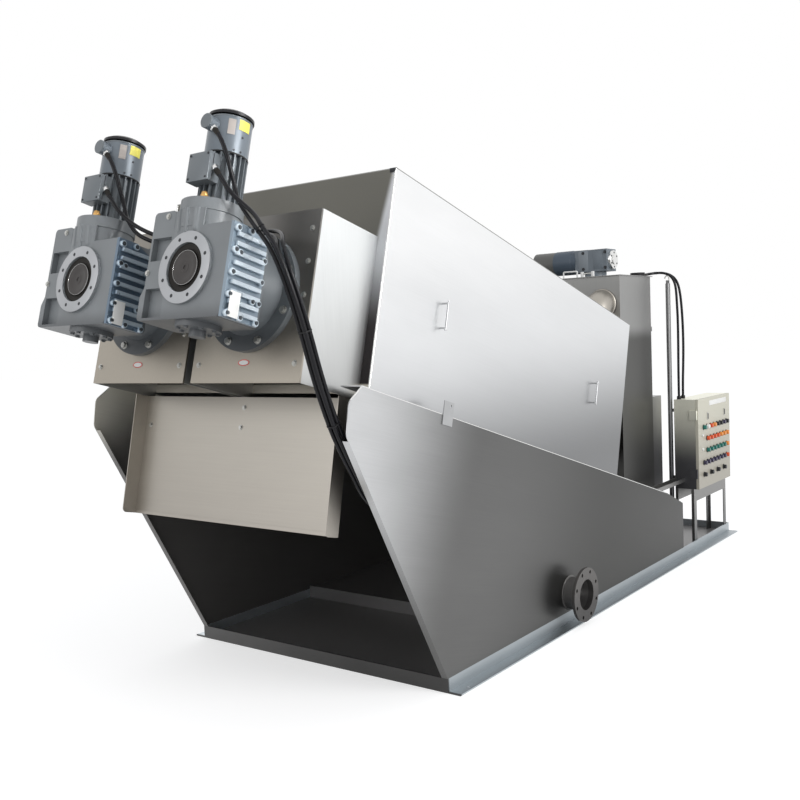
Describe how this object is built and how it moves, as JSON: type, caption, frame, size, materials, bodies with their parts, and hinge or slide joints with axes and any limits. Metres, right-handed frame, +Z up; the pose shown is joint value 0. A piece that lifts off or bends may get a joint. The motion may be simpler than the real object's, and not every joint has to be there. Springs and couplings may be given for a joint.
{
  "type": "screw press dewaterer",
  "caption": "Skid-mounted screw press sludge dewaterer with twin geared screw drives, sloped stainless hood, discharge chute, mixing tank and control cabinet.",
  "frame": {"origin": "centre of the four anchor holes at the underside of the base, on the ground", "axes": "+X towards the outlet and cabinet side, +Y to the rear (mixing tank end), +Z up"},
  "size_m": [1.605, 4.4537, 2.2883],
  "materials": {
    "stainless": "brushed, dull",
    "base_steel": "dull bluish",
    "gear_paint": "satin grey-blue on rough castings",
    "cast_aluminium": "cast, bright",
    "bright_shaft": "turned, bright",
    "motor_paint": "satin grey",
    "mixer_paint": "satin blue-grey",
    "black_plastic": "matt black",
    "cabinet_paint": "satin beige-grey",
    "button_plastic": "gloss, several colours"
  },
  "bodies": {
    "machine": {"base_frame": "base_steel", "floor_plate": "stainless", "rear_floor": "stainless", "filtrate_weir": "stainless", "tank_bottom": "stainless", "back_wall": "stainless", "left_side_panel": "stainless", "right_side_panel": "stainless", "outlet_stub": "stainless", "left_hood_cover": "stainless", "right_hood_cover": "stainless", "hood_roof": "stainless", "hood_front": "stainless", "hood_rear": "stainless", "discharge_chute": "stainless", "mixing_tank": "stainless", "mixing_tank_lid": "stainless", "rear_chamber": "stainless", "rear_chamber_lid": "stainless", "mixer_motor": "mixer_paint", "mixer_gear": "gear_paint", "cabinet_body": "cabinet_paint", "cabinet_stand": "stainless", "cable_conduit": "stainless", "cabinet_hinges": "stainless", "cabinet_glands": "black_plastic", "cable_tray": "stainless", "cable_trunking": "stainless", "handles": "stainless", "level_probe": "black_plastic", "right_fan_cable": "black_plastic", "right_motor_cable": "black_plastic", "left_fan_cable": "black_plastic", "left_motor_cable": "black_plastic", "lid_cable_1": "black_plastic", "lid_cable_2": "black_plastic", "left_discharge_box": "stainless", "left_gear_plate": "stainless", "left_gear_housing": "gear_paint", "left_gear_cover": "cast_aluminium", "left_motor": "motor_paint", "left_fan_cowl": "motor_paint", "left_terminal_box": "motor_paint", "left_feed_pipe": "stainless", "right_discharge_box": "stainless", "right_gear_plate": "stainless", "right_gear_housing": "gear_paint", "right_gear_cover": "cast_aluminium", "right_motor": "motor_paint", "right_fan_cowl": "motor_paint", "right_terminal_box": "motor_paint", "right_feed_pipe": "stainless"},
    "left_shaft": {"left_screw_shaft": "bright_shaft"},
    "right_shaft": {"right_screw_shaft": "bright_shaft"},
    "door": {"cabinet_door": "cabinet_paint", "door_buttons": "button_plastic"}
  },
  "joints": [
    {"name": "left_screw_turn", "type": "hinge", "parent": "machine", "child": "left_shaft", "pos_m": [-0.307, -1.915, 1.6315], "axis": [0, -0.9659, 0.2588], "continuous": true},
    {"name": "right_screw_turn", "type": "hinge", "parent": "machine", "child": "right_shaft", "pos_m": [0.307, -1.915, 1.6315], "axis": [0, -0.9659, 0.2588], "continuous": true},
    {"name": "cabinet_door_hinge", "type": "hinge", "parent": "machine", "child": "door", "pos_m": [0.746, 1.5122, 0.68], "axis": [0, 0, -1], "range_deg": [0, 110]}
  ]
}
